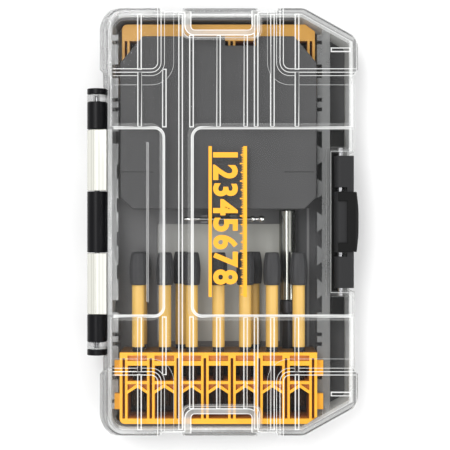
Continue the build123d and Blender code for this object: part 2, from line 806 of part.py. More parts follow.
def cover_panel():
    """Dark cover over the upper half: a shallow upturned tray on two legs and the top rack."""
    far_x = cover_far_chamfer_x
    far_y = cover_far_chamfer_y
    near = cover_near_chamfer

    def outline(inset):
        low = cover_low_y + inset
        high = cover_high_y - inset
        left = cover_left + inset
        right = cover_right - inset
        return Polygon(
            (left + near, low), (right - near, low), (right, low + near), (right, high - far_y),
            (right - far_x, high), (left + far_x, high), (left, high - far_y), (left, low + near),
            align=None)

    body = prism(outline(0), cover_bottom, cover_top)
    body = fillet(body.edges().group_by(Axis.Z)[-1], cover_round)
    body -= prism(outline(cover_wall), cover_bottom - 1, cover_top - cover_wall)
    notch_left, notch_right, notch_length = cover_notch
    body -= slab(notch_left, notch_right, cover_high_y - notch_length, cover_high_y + 1,
                 cover_bottom - 1, cover_top + 1)
    for start in (cover_left - 1, cover_right - groove_length + 1):
        body -= slab(start, start + groove_length, groove_y - groove_width / 2,
                     groove_y + groove_width / 2, cover_top - groove_depth, cover_top + 1)
    leg_y = cover_low_y + leg_setback
    for x in (cover_left + near - 1, cover_right - near + 1 - leg_width):
        body += slab(x, x + leg_width, leg_y - cover_wall, leg_y, liner_top, cover_top - 1)
    return body


def hex_bar(y0, y1, x, z):
    """Hexagonal shank along Y, with the detent groove near its lower end."""
    face = Pos(x, z) * RegularPolygon(hex_across / 2, 6, major_radius=False, rotation=30)
    bar = profile_y(face, y0, y1)
    groove = bar_y(hex_across, y0 + detent_from_end, y0 + detent_from_end + detent_length, x, z)
    groove -= bar_y(detent_radius, y0, y1, x, z)
    return bar - groove


def bit_core(x, z):
    """Dark steel of a long bit: hex shank, slim neck and driving tip."""
    end_y = bit_tip_y - bit_length
    tip_y = bit_tip_y - tip_length
    core = hex_bar(end_y, sleeve_end_y, x, z) + bar_y(neck_radius, sleeve_end_y - 1, tip_y, x, z)
    tip = Pos(x, (tip_y + bit_tip_y) / 2, z) * Rot(-90, 0, 0) * Cone(
        neck_radius, tip_end_radius, tip_length)
    return core + tip


def bit_sleeve(x, z):
    """Amber sleeve around a long bit's neck."""
    top_y = bit_tip_y - collar_length
    return bar_y(sleeve_radius, sleeve_end_y, top_y, x, z) - bar_y(
        neck_radius + neck_gap, sleeve_end_y - 1, top_y + 1, x, z)


def bit_collar(x, z):
    """Black bullet-shaped collar over the tip of a long bit."""
    foot_y = bit_tip_y - collar_length
    belly_y = foot_y + collar_length * 0.42
    bore = neck_radius + neck_gap
    side = ThreePointArc((collar_foot_radius, foot_y), (collar_radius, belly_y),
                         (collar_mouth_radius, bit_tip_y))
    rest = Polyline((collar_mouth_radius, bit_tip_y), (bore, bit_tip_y), (bore, foot_y),
                    (collar_foot_radius, foot_y))
    return Pos(x, 0, z) * revolve(make_face([side, rest]), Axis.Y)


def drive_guide_core():
    """Dark core of the drive guide: hex shank, band and the stem that the sleeve runs on."""
    band_top = guide_sleeve_bottom - guide_band_gap
    band_low = band_top - guide_band_length
    core = hex_bar(guide_shank_end, band_low, guide_x, rear_axis_z)
    core += bar_y(guide_band_radius, band_low, band_top, guide_x, rear_axis_z)
    return core + bar_y(guide_bore_radius - running_gap, band_top - 1, guide_stem_top,
                        guide_x, rear_axis_z)


def drive_guide_sleeve():
    """Bright steel sleeve that slides forward over the bit."""
    sleeve = bar_y(guide_sleeve_radius, guide_sleeve_bottom, guide_sleeve_top, guide_x, rear_axis_z)
    sleeve = chamfer(sleeve.edges().filter_by(GeomType.CIRCLE), 0.5)
    return sleeve - bar_y(guide_bore_radius, guide_sleeve_bottom - 1, guide_sleeve_top + 1,
                          guide_x, rear_axis_z)


front_bit_x = [rack_x + (number - (bay_count - 1) / 2) * bay_pitch for number in range(bay_count)]
outer_start = outer_knuckle_y
outer_end = outer_knuckle_y + outer_knuckle_length
pin_half = cap_y + cap_bore_depth - knuckle_gap / 2

nodes = {
    "base_shell": base_shell(),
    "lid_shell": lid_shell(),
    "hinge_knuckle_middle": hinge_knuckle(-middle_half, middle_half),
    "hinge_knuckle_upper": hinge_knuckle(outer_start, outer_end),
    "hinge_knuckle_lower": hinge_knuckle(-outer_end, -outer_start),
    "hinge_cap_upper": hinge_cap(),
    "hinge_cap_lower": mirror(hinge_cap(), Plane.XZ),
    "hinge_pin": bar_y(pin_radius, -pin_half, pin_half, hinge_x, parting_height),
    "latch_body": latch_body(),
    "latch_grip": latch_grip(),
    "latch_pin": bar_y(pin_radius, -bay_half - bay_wall, bay_half + bay_wall,
                       latch_pin_x, latch_pin_z),
    "latch_bridge": latch_bridge(),
    "main_liner": main_liner(),
    "side_liner": side_liner(),
    "cover_panel": cover_panel(),
    "rack_front": rack(front_rack_bottom, front_bit_x, end_bar_length, True),
    "rack_rear": rack(rear_rack_bottom, rear_bit_x + [guide_x], end_bar_length, False),
    "rack_top": mirror(rack(rear_rack_bottom, (), top_end_bar, False), Plane.XZ),
    "drive_guide_core": drive_guide_core(),
    "drive_guide_sleeve": drive_guide_sleeve(),
    "drive_guide_magnet": bar_y(magnet_radius, guide_stem_top, guide_stem_top + magnet_length,
                                guide_x, rear_axis_z),
    "slim_rod": slim_rod(),
}
rows = (("front", front_bit_x, front_axis_z), ("rear", rear_bit_x, rear_axis_z))
for row, places, axis_z in rows:
    for number, x in enumerate(places, start=1):
        nodes[f"bit_{row}_{number}_core"] = bit_core(x, axis_z)
        nodes[f"bit_{row}_{number}_sleeve"] = bit_sleeve(x, axis_z)
        nodes[f"bit_{row}_{number}_collar"] = bit_collar(x, axis_z)

for name, shape in nodes.items():
    export_step(shape, f"parts/{name}.step")
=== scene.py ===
# %% [markdown]
# # A clear case for driver bits
#
# The imported CAD model gives the shapes and the moving bodies. This script adds the looks: clear
# plastic with painted highlights on its edges, coloured racks with painted shade, steel, facets,
# knurls, a printed scale, light and camera.
# Lengths are in metres. The case lies on its back, +Z points out of the lid and +X to the latch.

# %% Imports and the fixed frame
import math

import bpy
import numpy as np
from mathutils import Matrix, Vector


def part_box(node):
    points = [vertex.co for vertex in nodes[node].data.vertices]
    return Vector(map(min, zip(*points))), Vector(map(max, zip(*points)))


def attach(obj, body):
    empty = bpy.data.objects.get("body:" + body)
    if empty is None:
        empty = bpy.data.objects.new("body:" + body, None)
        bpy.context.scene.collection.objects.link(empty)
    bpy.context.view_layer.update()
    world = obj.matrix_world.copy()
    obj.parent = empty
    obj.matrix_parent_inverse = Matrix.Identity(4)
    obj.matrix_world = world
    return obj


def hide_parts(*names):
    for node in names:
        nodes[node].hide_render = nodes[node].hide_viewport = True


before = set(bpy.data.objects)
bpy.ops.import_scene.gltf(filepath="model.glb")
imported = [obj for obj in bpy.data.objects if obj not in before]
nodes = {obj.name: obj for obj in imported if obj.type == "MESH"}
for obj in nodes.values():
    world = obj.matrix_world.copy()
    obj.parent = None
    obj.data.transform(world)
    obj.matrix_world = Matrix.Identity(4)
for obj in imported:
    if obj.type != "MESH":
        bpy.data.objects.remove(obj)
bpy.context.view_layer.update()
MM = 0.001

# %% [markdown]
# ## Values that become nodes
#
# A material is a formula. `Val` wraps one socket, so that `a * b + c` adds the maths nodes itself.
# Any other node goes through `Looks.node`, which links or sets its inputs by name or number.

# %% Sockets as numbers
def feed(tree, slot, value):
    """Links a value to an input, or sets the input where the value is a plain number or colour."""
    if isinstance(value, Val):
        tree.links.new(value.socket, slot)
    elif hasattr(value, "__len__") and len(value) == 3 and len(slot.default_value) == 4:
        slot.default_value = (*value, 1.0)
    else:
        slot.default_value = value


class Val:
    """One output socket that can be used in sums."""

    def __init__(self, tree, socket):
        self.tree = tree
        self.socket = socket

    def math(self, operation, *others):
        """Result of one maths node with this value first."""
        node = self.tree.nodes.new("ShaderNodeMath")
        node.operation = operation
        for slot, value in zip(node.inputs, (self, *others)):
            feed(self.tree, slot, value)
        return Val(self.tree, node.outputs[0])

    def __add__(self, other):
        return self.math("ADD", other)

    def __sub__(self, other):
        return self.math("SUBTRACT", other)

    def __mul__(self, other):
        return self.math("MULTIPLY", other)

    def __rsub__(self, other):
        return self.math("MULTIPLY_ADD", -1.0, other)

    __radd__ = __add__
    __rmul__ = __mul__

    def size(self):
        """The value without its sign."""
        return self.math("ABSOLUTE")

    def ramp(self, low, high):
        """0 below low, 1 above high and a smooth rise between them."""
        node = self.tree.nodes.new("ShaderNodeMapRange")
        node.interpolation_type = "SMOOTHSTEP"
        feed(self.tree, node.inputs["Value"], self)
        node.inputs["From Min"].default_value = min(low, high)
        node.inputs["From Max"].default_value = max(low, high)
        node.inputs["To Min"].default_value = 0.0 if low < high else 1.0
        node.inputs["To Max"].default_value = 1.0 if low < high else 0.0
        return Val(self.tree, node.outputs["Result"])

    def band(self, low, high, soft):
        """1 between low and high, falling to 0 over a soft edge."""
        return self.ramp(low - soft, low) * self.ramp(high + soft, high)


class Looks:
    """One material: its shader, its object coordinates and short ways to build patterns."""

    def __init__(self, name, colour, roughness, **fixed):
        self.material = bpy.data.materials.new(name)
        self.material.use_nodes = True
        self.tree = self.material.node_tree
        self.shader = self.tree.nodes["Principled BSDF"]
        self.put("Base Color", colour)
        self.put("Roughness", roughness)
        for key, value in fixed.items():
            self.put(key.replace("_", " "), value)
        coords = self.tree.nodes.new("ShaderNodeTexCoord")
        self.place = Val(self.tree, coords.outputs["Object"])
        self.x, self.y, self.z = self.parts(self.place)

    def put(self, name, value):
        """Sets or links one input of the shader."""
        feed(self.tree, self.shader.inputs[name], value)

    def node(self, kind, inputs, output=0, **settings):
        """Adds any node, sets its options and inputs, and returns one output."""
        node = self.tree.nodes.new("ShaderNode" + kind)
        for key, value in settings.items():
            setattr(node, key, value)
        for key, value in inputs.items():
            feed(self.tree, node.inputs[key], value)
        return Val(self.tree, node.outputs[output])

    def parts(self, vector):
        """The three parts of a vector."""
        node = self.tree.nodes.new("ShaderNodeSeparateXYZ")
        feed(self.tree, node.inputs[0], vector)
        return [Val(self.tree, out) for out in node.outputs]

    def noise(self, scale, detail=2.0, stretch=(1.0, 1.0, 1.0)):
        """Cloudy noise from 0 to 1, whose grains are stretched by the inverse of stretch."""
        place = self.node("VectorMath", {0: self.place, 1: stretch}, operation="MULTIPLY")
        return self.node("TexNoise", {"Vector": place, "Scale": scale, "Detail": detail})

    def blend(self, factor, first, second):
        """Colour that goes from first to second as the factor rises."""
        node = self.tree.nodes.new("ShaderNodeMix")
        node.data_type = "RGBA"
        feed(self.tree, node.inputs[0], factor)
        feed(self.tree, node.inputs[6], first)
        feed(self.tree, node.inputs[7], second)
        return Val(self.tree, node.outputs[2])

    def bump(self, height, distance):
        """Lets a height pattern tilt the shading by a real distance."""
        normal = self.node("Bump", {"Height": height, "Distance": distance, "Strength": 1.0})
        self.put("Normal", normal)

    def wear(self, spread=0.25):
        """Roughness that drifts a little over the surface, from its set value."""
        base = self.shader.inputs["Roughness"].default_value
        self.put("Roughness", base * (1 - spread) + self.noise(60.0, 4.0) * (2 * base * spread))


# %% [markdown]
# ## Clear plastic
#
# A clear shell shows by its edges, and here that light is painted: where the surface leans it is
# painted white as a highlight, and where it lies flat it all but vanishes. The lean is read from the
# true normal's Z part in the object's own space, so it turns with the lid. Seen from above, the walls'
# thickness gets a painted bright ring round the case, and the bumpers outside it are greyer. That ring
# is found from the distance inside the wall's outer face.

# %% Distance from the wall
WALL_LEFT = -67.05 * MM
WALL_RIGHT = 76.3 * MM
WALL_HALF = 122.1 * MM
CORNER = 10.1 * MM
PARTING = 27.0 * MM
NOSE_SLOPE = (-0.4852, -0.8744)
NOSE_REACH = 129.35 * MM
POCKET_X = -0.7 * MM
POCKET_HALF = 22.0 * MM
POCKET_Y = 106.0 * MM
PANEL_TOP = 42.1 * MM


def wall_inset(look):
    """Distance inside the wall's outer face: radius - |offset past the corner's centre| by the round
    corners, and the plain distance from the slanted and straight sides elsewhere."""
    ends = look.y.size()
    over_x = CORNER + WALL_LEFT - look.x
    over_y = ends + (CORNER - WALL_HALF)
    past_x = over_x.math("MAXIMUM", 0.0)
    past_y = over_y.math("MAXIMUM", 0.0)
    outside = (past_x * past_x + past_y * past_y).math("SQRT")
    inside = over_x.math("MAXIMUM", over_y).math("MINIMUM", 0.0)
    nose = look.x * NOSE_SLOPE[0] + ends * NOSE_SLOPE[1] + NOSE_REACH
    sides = (WALL_RIGHT - look.x).math("MINIMUM", nose)
    return (CORNER - outside - inside).math("MINIMUM", sides)


# %% Coats over a clear ground
class Coats:
    """A colour and an alpha, built up from masked coats over a nearly clear ground."""

    def __init__(self, look, colour, alpha):
        self.look = look
        self.colour = colour
        self.alpha = alpha

    def add(self, mask, colour, alpha):
        """Lays one coat over the rest: new = old + (coat - old) * mask."""
        self.colour = self.look.blend(mask, self.colour, colour)
        self.alpha = self.alpha + (alpha - self.alpha) * mask

    def finish(self):
        """Links the result to the shader."""
        self.look.put("Base Color", self.colour)
        self.look.put("Alpha", self.alpha)


def leaning(look):
    """Masks for flat faces, for upright faces, for all edges and slopes between them, and for the
    steeper edges. They come from true normals, so that a narrow slope isn't smoothed away."""
    true = look.node("NewGeometry", {}, "True Normal")
    turned = look.node("VectorTransform", {"Vector": true}, vector_type="NORMAL",
                       convert_from="WORLD", convert_to="OBJECT")
    lean = look.parts(turned)[2].size()
    flat = lean.ramp(0.9, 0.98)
    upright = lean.ramp(0.3, 0.2)
    edge = lean.ramp(0.2, 0.36) * lean.ramp(0.985, 0.9)
    return flat, upright, edge, lean.ramp(0.75, 0.6) * lean.ramp(0.5, 0.65)


def outlines(coats, mask, inset):
    """Painted shade: dark lines along the bumpers' rim and along the wall's outer face."""
    rim = inset.band(-2.95 * MM, -2.35 * MM, 0.15 * MM)
    foot = inset.band(-0.45 * MM, 0.1 * MM, 0.15 * MM)
    coats.add(mask * rim.math("MAXIMUM", foot), (0.07, 0.07, 0.07), 0.75)


# Colour of the painted highlights on the clear plastic.
HIGHLIGHT_WHITE = (0.93, 0.94, 0.93)

# %% Clear base
def clear_base_plastic():
    """Base: floor with painted shade, upright wall with a painted bright band and darker outer faces,
    grey top faces of the walls, rail and partition with a painted bright ring, and painted highlights
    on edges.
    """
    look = Looks("clear_base", (0.5, 0.5, 0.5), 0.12, IOR=1.5)
    flat, upright, edge, _ = leaning(look)
    inset = wall_inset(look)
    ripple = look.noise(90.0, 3.0)
    streaks = look.noise(260.0, 2.0, (1.0, 0.12, 1.0)).ramp(0.42, 0.62)
    meeting = (look.z - PARTING).size().ramp(0.6 * MM, 0.3 * MM) * flat
    ring = meeting * inset.band(0.4 * MM, 2.2 * MM, 0.2 * MM)
    left = look.x.ramp(-60.6 * MM, -61.0 * MM)
    block = (look.x - POCKET_X).size().ramp(20 * MM, 19 * MM)
    coats = Coats(look, (0.16, 0.165, 0.165), 0.05)
    # Painted shade: the floor faces are painted grey, darker towards the hinge side, for the shadowed
    # floor under the case.
    floor = look.blend(look.x.ramp(-38 * MM, -8 * MM), (0.36, 0.36, 0.345), (0.58, 0.58, 0.54))
    coats.add(flat * look.z.ramp(3.0 * MM, 2.5 * MM), floor, 0.72)
    # Painted light and shade on upright faces: grey, with a painted bright band where the wall's
    # thickness shows and darker outer faces.
    coats.add(upright, (0.2, 0.205, 0.205), 0.4)
    coats.add(upright * inset.band(1.5 * MM, 3.1 * MM, 0.3 * MM), HIGHLIGHT_WHITE, 0.66)
    coats.add(upright * inset.ramp(1.2 * MM, 0.8 * MM), (0.12, 0.12, 0.12), 0.46)
    coats.add(meeting, (0.26, 0.265, 0.265), 0.5 + ripple * 0.25)
    coats.add(meeting * left, (0.4, 0.405, 0.405), 0.55 + streaks * 0.3)
    # Painted highlight: a bright ring over the walls' thickness, greyer over the left rail.
    coats.add(ring, HIGHLIGHT_WHITE, 0.55 + ripple * 0.3)
    coats.add(ring * left, (0.32, 0.325, 0.325), 0.6 + ripple * 0.25)
    coats.add(meeting * inset.ramp(-0.2 * MM, -0.5 * MM), (0.22, 0.225, 0.225), 0.6 + ripple * 0.2)
    coats.add(meeting * block * inset.ramp(0.5 * MM, 0.2 * MM), (0.22, 0.225, 0.225), 0.72)
    outlines(coats, meeting, inset)
    # Painted highlights on edges and slopes, greyer on the hinge side.
    coats.add(edge, HIGHLIGHT_WHITE, 0.62)
    coats.add(edge * left, (0.5, 0.5, 0.5), 0.6)
    coats.add(look.x.ramp(WALL_LEFT - 0.3 * MM, WALL_LEFT - 0.8 * MM)
              * look.y.size().band(73.5 * MM, 78.0 * MM, 0.3 * MM), (0.5, 0.51, 0.5), 0.62)
    coats.finish()
    look.bump(look.noise(220.0, 2.0), 0.00002)
    return look.material


# %% Clear lid
def clear_lid_plastic():
    """Lid: clear panels, painted highlights on ribs and slopes, a painted bright ring over the walls
    and cream barrels.
    """
    look = Looks("clear_lid", (0.5, 0.5, 0.5), 0.08, IOR=1.5, Coat_Weight=0.2)
    flat, upright, edge, steep = leaning(look)
    inset = wall_inset(look)
    ripple = look.noise(70.0, 3.0)
    low = look.z.ramp(28.5 * MM, 27.5 * MM)
    high = look.z.ramp(36.0 * MM, 38.0 * MM)
    pocket = (look.x - POCKET_X).size().ramp(POCKET_HALF + 0.5 * MM, POCKET_HALF)
    pocket = pocket * look.y.size().ramp(POCKET_Y - 0.5 * MM, POCKET_Y)
    coats = Coats(look, (0.2, 0.205, 0.205), 0.02)
    coats.add(flat * low, (0.4, 0.405, 0.405), 0.1 + ripple * 0.1)
    # Painted highlight: a bright ring over the walls' thickness, with greyer bumpers outside it.
    coats.add(flat * high * inset.band(1.5 * MM, 3.5 * MM, 0.3 * MM), HIGHLIGHT_WHITE, 0.1 + ripple * 0.3)
    coats.add(flat * high * inset.ramp(0.9 * MM, 0.5 * MM), (0.3, 0.305, 0.305), 0.38)
    coats.add(upright, (0.5, 0.505, 0.505), 0.3)
    outlines(coats, low * flat, inset)
    # Painted highlights on edges and slopes: white, greyer where steep, stronger at the panel tops,
    # greyer on the hinge side, white on the latch side and grey-white in a narrow band near X -43 mm.
    above = look.z.ramp(PANEL_TOP - 0.15 * MM, PANEL_TOP)
    pale = look.blend(steep, HIGHLIGHT_WHITE, (0.72, 0.73, 0.72))
    coats.add(edge, pale, 0.18 + above * (0.6 - steep * 0.26))
    coats.add(edge * look.x.ramp(-62 * MM, -63 * MM), (0.45, 0.45, 0.45), 0.45)
    coats.add(edge * look.x.ramp(73.0 * MM, 74.0 * MM), HIGHLIGHT_WHITE, 0.6)
    fine = look.x.band(-44.2 * MM, -41.8 * MM, 0.1 * MM) * look.y.size().ramp(48 * MM, 47 * MM)
    coats.add(edge * fine, (0.6, 0.6, 0.6), 0.42)
    # Painted highlights on the pocket's slopes, white at their ends.
    slope = edge * pocket * look.z.ramp(40.1 * MM, 40.3 * MM)
    coats.add(slope, (0.62, 0.62, 0.6), 0.35 + ripple * 0.3)
    ends = look.z.ramp(40.8 * MM, 40.6 * MM).math("MAXIMUM", look.z.ramp(43.5 * MM, 43.7 * MM))
    coats.add(slope * ends, HIGHLIGHT_WHITE, 0.85)
    barrel = look.x.ramp(WALL_LEFT - 0.2 * MM, WALL_LEFT - 0.6 * MM)
    barrel = barrel * look.y.size().ramp(56 * MM, 55 * MM)
    bands = look.noise(1.0, 3.0, (900.0, 1.0, 1.0)).ramp(0.35, 0.6)
    coats.add(barrel, look.blend(bands, (0.48, 0.48, 0.43), (0.68, 0.68, 0.62)), 0.95)
    coats.finish()
    look.bump(look.noise(220.0, 2.0), 0.00002)
    return look.material


clear_lid = clear_lid_plastic()
clear_base = clear_base_plastic()

# %% [markdown]
# ## Moulded plastics and steels
#
# Each moulded plastic has a fine spark-eroded texture and a slow drift in roughness. The racks have
# painted shade by depth: they go orange and then red-brown further down, and a faint painted light,
# given as emission, stands for the light that gets through the thin top bars.

# %% Opaque materials
def moulded(name, colour, roughness, grain=0.00003, drift=0.12, **fixed):
    """Moulded plastic: small colour drift, fine grain in the normal and wear in the roughness."""
    look = Looks(name, colour, roughness, **fixed)
    darker = tuple(part * (1 - drift) for part in colour)
    lighter = tuple(min(1.0, part * (1 + drift)) for part in colour)
    look.put("Base Color", look.blend(look.noise(25.0, 3.0), darker, lighter))
    look.bump(look.noise(1600.0, 1.0), grain)
    look.wear()
    return look


RACK_X = (-59.4 * MM, 54.5 * MM)
RACK_Y = (75.3 * MM, 116.5 * MM)


def rack_plastic(name, top, skin=(0.86, 0.42, 0.022), painted_glow=(0.0, 0.0, 0.0)):
    """Rack plastic with painted shade: its recesses are painted orange and then red-brown below its top
    face, and its near face brown. A faint painted light, given as emission, stands for the little light
    that comes through the deep walls."""
    look = moulded(name, skin, 0.38, grain=0.00001, drift=0.05, Specular_IOR_Level=0.3)
    inside = look.x.band(RACK_X[0] + MM, RACK_X[1] - MM, 0.2 * MM)
    inside = inside * look.y.size().band(RACK_Y[0] + MM, RACK_Y[1] - MM, 0.2 * MM)
    # Painted shade: orange in shallow recesses, red-brown deeper down and brown on the near face; the
    # deep parts get painted light as emission.
    depth = look.z * -1.0 + top
    sunk = depth.ramp(0.3 * MM, 3.5 * MM) * inside
    deep = depth.ramp(4.0 * MM, 13.0 * MM) * inside
    pale = tuple(min(1.0, part * 1.06) for part in skin)
    orange = look.blend(sunk, look.blend(look.noise(30.0), skin, pale), (0.7, 0.27, 0.035))
    near = look.y.size().ramp(75.9 * MM, 75.5 * MM) * depth.ramp(0.5 * MM, 1.0 * MM)
    brown = look.blend(deep, orange, (0.22, 0.055, 0.012))
    look.put("Base Color", look.blend(near, brown, (0.26, 0.125, 0.03)))
    look.put("Emission Color", look.blend(deep, (0.0, 0.0, 0.0), painted_glow))
    look.put("Emission Strength", 1.0)
    return look.material


def brushed(name, colour, roughness, stretch):
    """Drawn or ground steel with fine scratches along one direction."""
    look = Looks(name, colour, roughness, Metallic=1.0)
    lines = look.noise(900.0, 2.0, stretch)
    look.put("Roughness", roughness * 0.6 + lines * roughness * 0.9)
    darker = tuple(part * 0.75 for part in colour)
    look.put("Base Color", look.blend(look.noise(120.0, 3.0), darker, colour))
    look.bump(lines, 0.00001)
    return look.material


def liner_plastic(name, colour, near):
    """Grey liner with a satin grain, painted light and shade that goes over to the near colour from X
    20 to 50 mm, and a painted highlight stripe along the ridge on the latch side."""
    look = moulded(name, colour, 0.62, grain=0.00005, drift=0.1, Specular_IOR_Level=0.25)
    cloud = look.blend(look.noise(25.0, 3.0), colour, tuple(part * 1.15 for part in colour))
    # Painted light and shade: towards the latch side the colour goes over to the near colour.
    shaded = look.blend(look.x.ramp(20 * MM, 50 * MM), cloud, near)
    # Painted highlight: a pale stripe along the ridge on the latch side.
    ridge_highlight = look.x.band(50.9 * MM, 52.1 * MM, 0.3 * MM) * look.y.band(-76 * MM, 8 * MM, 0.5 * MM)
    look.put("Base Color", look.blend(ridge_highlight, shaded, (0.24, 0.24, 0.242)))
    return look.material


DULL = {"Specular_IOR_Level": 0.14}
black_hinge = moulded("black_hinge", (0.004, 0.004, 0.005), 0.32, grain=0.00001, **DULL).material
latch_charcoal = moulded("latch_charcoal", (0.021, 0.021, 0.022), 0.5, grain=0.00004, **DULL).material
latch_black = moulded("latch_black", (0.003, 0.003, 0.003), 0.4, **DULL).material
liner_grey = liner_plastic("liner_grey", (0.14, 0.14, 0.142), (0.088, 0.088, 0.091))
side_grey = moulded("side_grey", (0.075, 0.075, 0.076), 0.6, **DULL).material
cover_grey = liner_plastic("cover_grey", (0.052, 0.052, 0.053), (0.062, 0.062, 0.063))
collar_black = moulded("collar_black", (0.042, 0.042, 0.044), 0.42, grain=0.00001, **DULL).material
sleeve_amber = moulded("sleeve_amber", (0.69, 0.43, 0.105), 0.42, grain=0.00001, drift=0.05).material
# The rear and top racks are the same plastic in darker, duller copies: painted shade for their lower,
# shaded places.
rack_high = rack_plastic("rack_high", 37.5 * MM, painted_glow=(0.06, 0.016, 0.003))
rack_rear_shaded = rack_plastic("rack_rear_shaded", 20.7 * MM, (0.36, 0.17, 0.03))
rack_top_shaded = rack_plastic("rack_top_shaded", 20.7 * MM, (0.66, 0.34, 0.06))
dark_steel = brushed("dark_steel", (0.06, 0.06, 0.065), 0.4, (1.0, 0.05, 1.0))
bright_steel = brushed("bright_steel", (0.36, 0.365, 0.33), 0.16, (1.0, 0.04, 1.0))
cross_steel = brushed("cross_steel", (0.8, 0.8, 0.78), 0.2, (0.04, 1.0, 1.0))
pin_steel = brushed("pin_steel", (0.34, 0.34, 0.35), 0.22, (1.0, 0.05, 1.0))
print_yellow = moulded("print_yellow", (0.88, 0.385, 0.003), 0.5, grain=0.00001, drift=0.03).material

# %% [markdown]
# ## Dressing the CAD nodes
#
# Each node keeps its mesh. Modifiers round its edges: first the split corners are welded and the flat
# faces merged, then the sharp edges are bevelled, and last the normals follow the larger faces.

# %% Rounded edges on CAD nodes
WELD_REACH = 0.005 * MM
MERGE_DEGREES = 0.6
BITS = [f"bit_front_{number}" for number in range(1, 8)]
BITS += [f"bit_rear_{number}" for number in range(1, 4)]


def dress(name, material, width=0.0, segments=1, clamp=True, sharp=35):
    """Gives a CAD node its material, and rounds its edges by a width where they turn by more than sharp
    degrees. With clamp, a short edge stops the rounding before corners cross."""
    obj = nodes[name]
    obj.data.materials.clear()
    obj.data.materials.append(material)
    if width == 0.0:
        return
    obj.data.polygons.foreach_set("use_smooth", np.ones(len(obj.data.polygons), bool))
    weld = obj.modifiers.new("weld", "WELD")
    weld.merge_threshold = WELD_REACH
    flats = obj.modifiers.new("flats", "DECIMATE")
    flats.decimate_type = "DISSOLVE"
    flats.angle_limit = math.radians(MERGE_DEGREES)
    edges = obj.modifiers.new("edges", "BEVEL")
    edges.width = width
    edges.segments = segments
    edges.limit_method = "ANGLE"
    edges.angle_limit = math.radians(sharp)
    edges.use_clamp_overlap = clamp
    edges.loop_slide = False
    normals = obj.modifiers.new("normals", "WEIGHTED_NORMAL")
    normals.keep_sharp = False


dress("lid_shell", clear_lid, 0.32 * MM, clamp=False, sharp=50)
dress("base_shell", clear_base, 0.35 * MM)
for name in ("middle", "upper", "lower"):
    dress("hinge_knuckle_" + name, black_hinge, 0.3 * MM, 2)
for name in ("hinge_cap_upper", "hinge_cap_lower"):
    dress(name, black_hinge, 0.3 * MM, 2)
dress("latch_body", latch_charcoal, 0.35 * MM, 2)
dress("latch_grip", latch_black, 0.4 * MM, 2)
dress("latch_bridge", latch_black, 0.3 * MM)
dress("hinge_pin", pin_steel)
dress("latch_pin", pin_steel, 0.2 * MM)
dress("main_liner", liner_grey, 0.3 * MM)
dress("side_liner", side_grey, 0.3 * MM)
dress("cover_panel", cover_grey, 0.35 * MM)
dress("rack_front", rack_high, 0.2 * MM)
dress("rack_rear", rack_rear_shaded, 0.2 * MM)
dress("rack_top", rack_top_shaded, 0.2 * MM)
dress("drive_guide_core", dark_steel, 0.15 * MM)
dress("drive_guide_sleeve", bright_steel, 0.15 * MM)
dress("drive_guide_magnet", pin_steel, 0.2 * MM)
dress("slim_rod", cross_steel)
for bit in BITS:
    dress(bit + "_core", dark_steel, 0.15 * MM)
    dress(bit + "_sleeve", sleeve_amber, 0.15 * MM)
    dress(bit + "_collar", collar_black)

# %% [markdown]
# ## New pieces
#
# Turned pieces come from a profile of (distance along the axis, radius), carried round the axis. The
# collars have flats, and the slim rod has rings, a flange and a ball. The print is a plain scale.

# %% Mesh helpers
def grid_mesh(name, points, faces, smooth=True):
    """New mesh object from arrays of corners and faces, at the origin."""
    mesh = bpy.data.meshes.new(name)
    mesh.from_pydata([tuple(p) for p in points], [], [tuple(f) for f in faces])
    mesh.polygons.foreach_set("use_smooth", np.full(len(mesh.polygons), smooth))
    mesh.update()
    obj = bpy.data.objects.new(name, mesh)
    bpy.context.scene.collection.objects.link(obj)
    return obj


def turned(name, profile, start, axis, count, flats=0, depth=0.0):
    """Turned body from (distance, radius) pairs in metres. With flats, the radius between two corners
    falls by depth: r = R * (1 - depth * (1 + cos(flats * angle)) / 2)."""
    along, radius = np.array(profile).T
    angle = np.arange(count) * 2 * math.pi / count
    fall = depth * (1 + np.cos(flats * angle)) / 2
    middle = np.sin(np.clip((along - along.min()) / np.ptp(along), 0, 1) * math.pi) ** 0.5
    ring = radius[:, None] * (1 - middle[:, None] * fall[None, :])
    points = np.zeros((len(along), count, 3))
    others = [k for k in range(3) if k != axis]
    points[:, :, axis] = along[:, None]
    points[:, :, others[0]] = ring * np.cos(angle)
    points[:, :, others[1]] = ring * np.sin(angle)
    points = points.reshape(-1, 3) + np.array(start)
    faces = []
    for row in range(len(along) - 1):
        for step in range(count):
            after = (step + 1) % count
            quad = (row * count + step, row * count + after,
                    (row + 1) * count + after, (row + 1) * count + step)
            faces.append(quad if axis == 1 else quad[::-1])
    return grid_mesh(name, points, faces)


def placed(obj, material, body, slot, *replaced):
    """Gives a new piece its material and body, and hides the CAD nodes that it stands for. The slot is
    not used.
    """
    obj.data.materials.append(material)
    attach(obj, body)
    if replaced:
        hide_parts(*replaced)


# %% Collars with flats
def collar(body):
    """Bullet-shaped collar with ten flats and a small mouth, in the place of the plain one."""
    low, high = (np.array(corner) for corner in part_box(body + "_collar"))
    length = high[1] - low[1]
    shape = ((0.0, 3.0), (0.0, 4.55), (0.03, 4.85), (0.15, 5.1), (0.3, 5.3), (0.45, 5.38), (0.6, 5.25),
             (0.75, 4.95), (0.88, 4.5), (0.96, 4.15), (1.0, 3.7), (1.0, 2.9), (0.94, 2.45))
    profile = [(part * length, radius * MM) for part, radius in shape]
    start = ((low[0] + high[0]) / 2, low[1], (low[2] + high[2]) / 2)
    piece = turned(body + "_collar_flats", profile, start, 1, 60, 10, 0.07)
    placed(piece, collar_black, body, "collar_black", body + "_collar")


for bit in BITS:
    collar(bit)

